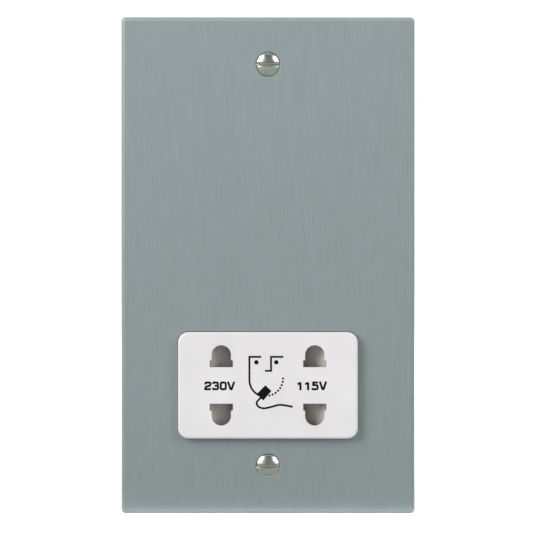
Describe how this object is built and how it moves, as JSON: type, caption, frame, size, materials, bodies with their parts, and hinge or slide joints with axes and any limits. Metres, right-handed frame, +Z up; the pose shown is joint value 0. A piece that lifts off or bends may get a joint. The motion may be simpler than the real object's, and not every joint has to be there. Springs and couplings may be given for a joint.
{
  "type": "shaver socket",
  "caption": "Wall shaver socket: brushed metal plate, white dual-voltage face with shuttered keyhole slots, isolating transformer and terminals in a rear housing.",
  "frame": {"origin": "centre of the front plate in the wall plane, which is the plate's back face", "axes": "+Z up, +X to the right as seen from the front, +Y into the wall; the front faces -Y"},
  "size_m": [0.088, 0.045, 0.149],
  "materials": {
    "plate_metal": "vertical brushed satin",
    "screw_nickel": "polished nickel",
    "white_moulding": "fine satin moulded",
    "shutter_grey": "matte moulded",
    "carrier_black": "matte moulded",
    "housing_grey": "fine textured moulded",
    "zinc_steel": "bright zinc plated",
    "brass": "turned",
    "spring_steel": "drawn wire",
    "contact_bronze": "rolled strip",
    "core_iron": "stacked laminations, varnished",
    "former_plastic": "moulded",
    "winding_copper": "enamelled wire under varnish",
    "cutout_black": "moulded",
    "lead_brown": "insulated",
    "lead_blue": "insulated",
    "lead_black": "insulated",
    "lead_red": "insulated"
  },
  "bodies": {
    "base": {"front_plate": "plate_metal", "fixing_screws": "screw_nickel", "socket_face": "white_moulding", "plate_studs": "zinc_steel", "stud_washer": "zinc_steel", "stud_nuts": "zinc_steel", "earth_terminal": "brass", "earth_screw": "brass", "centring_spring": "spring_steel", "contact_carrier": "carrier_black", "contact_230_upper": "contact_bronze", "contact_230_lower": "contact_bronze", "contact_115_upper": "contact_bronze", "contact_115_lower": "contact_bronze", "switch_leaf": "contact_bronze", "switch_contact": "contact_bronze", "transformer_e_core": "core_iron", "transformer_i_core": "core_iron", "coil_former": "former_plastic", "primary_winding": "winding_copper", "secondary_winding": "winding_copper", "core_strap": "zinc_steel", "strap_screws": "zinc_steel", "thermal_cutout": "cutout_black", "rear_housing": "housing_grey", "terminal_block": "carrier_black", "line_terminal": "brass", "neutral_terminal": "brass", "terminal_screws": "zinc_steel", "block_screw": "zinc_steel", "lead_line": "lead_brown", "lead_switched": "lead_brown", "lead_cutout": "lead_brown", "lead_neutral": "lead_blue", "lead_230_volts": "lead_red", "lead_115_volts": "lead_red", "lead_common": "lead_black", "lead_link": "lead_black"},
    "shutter": {"shutter_slider": "shutter_grey"}
  },
  "joints": [
    {"name": "shutter_slide", "type": "slide", "parent": "base", "child": "shutter", "axis": [1, 0, 0], "range_m": [-0.00715, 0.00715], "stiffness_N_per_m": 100, "deforming": ["centring_spring", "switch_leaf"]}
  ]
}
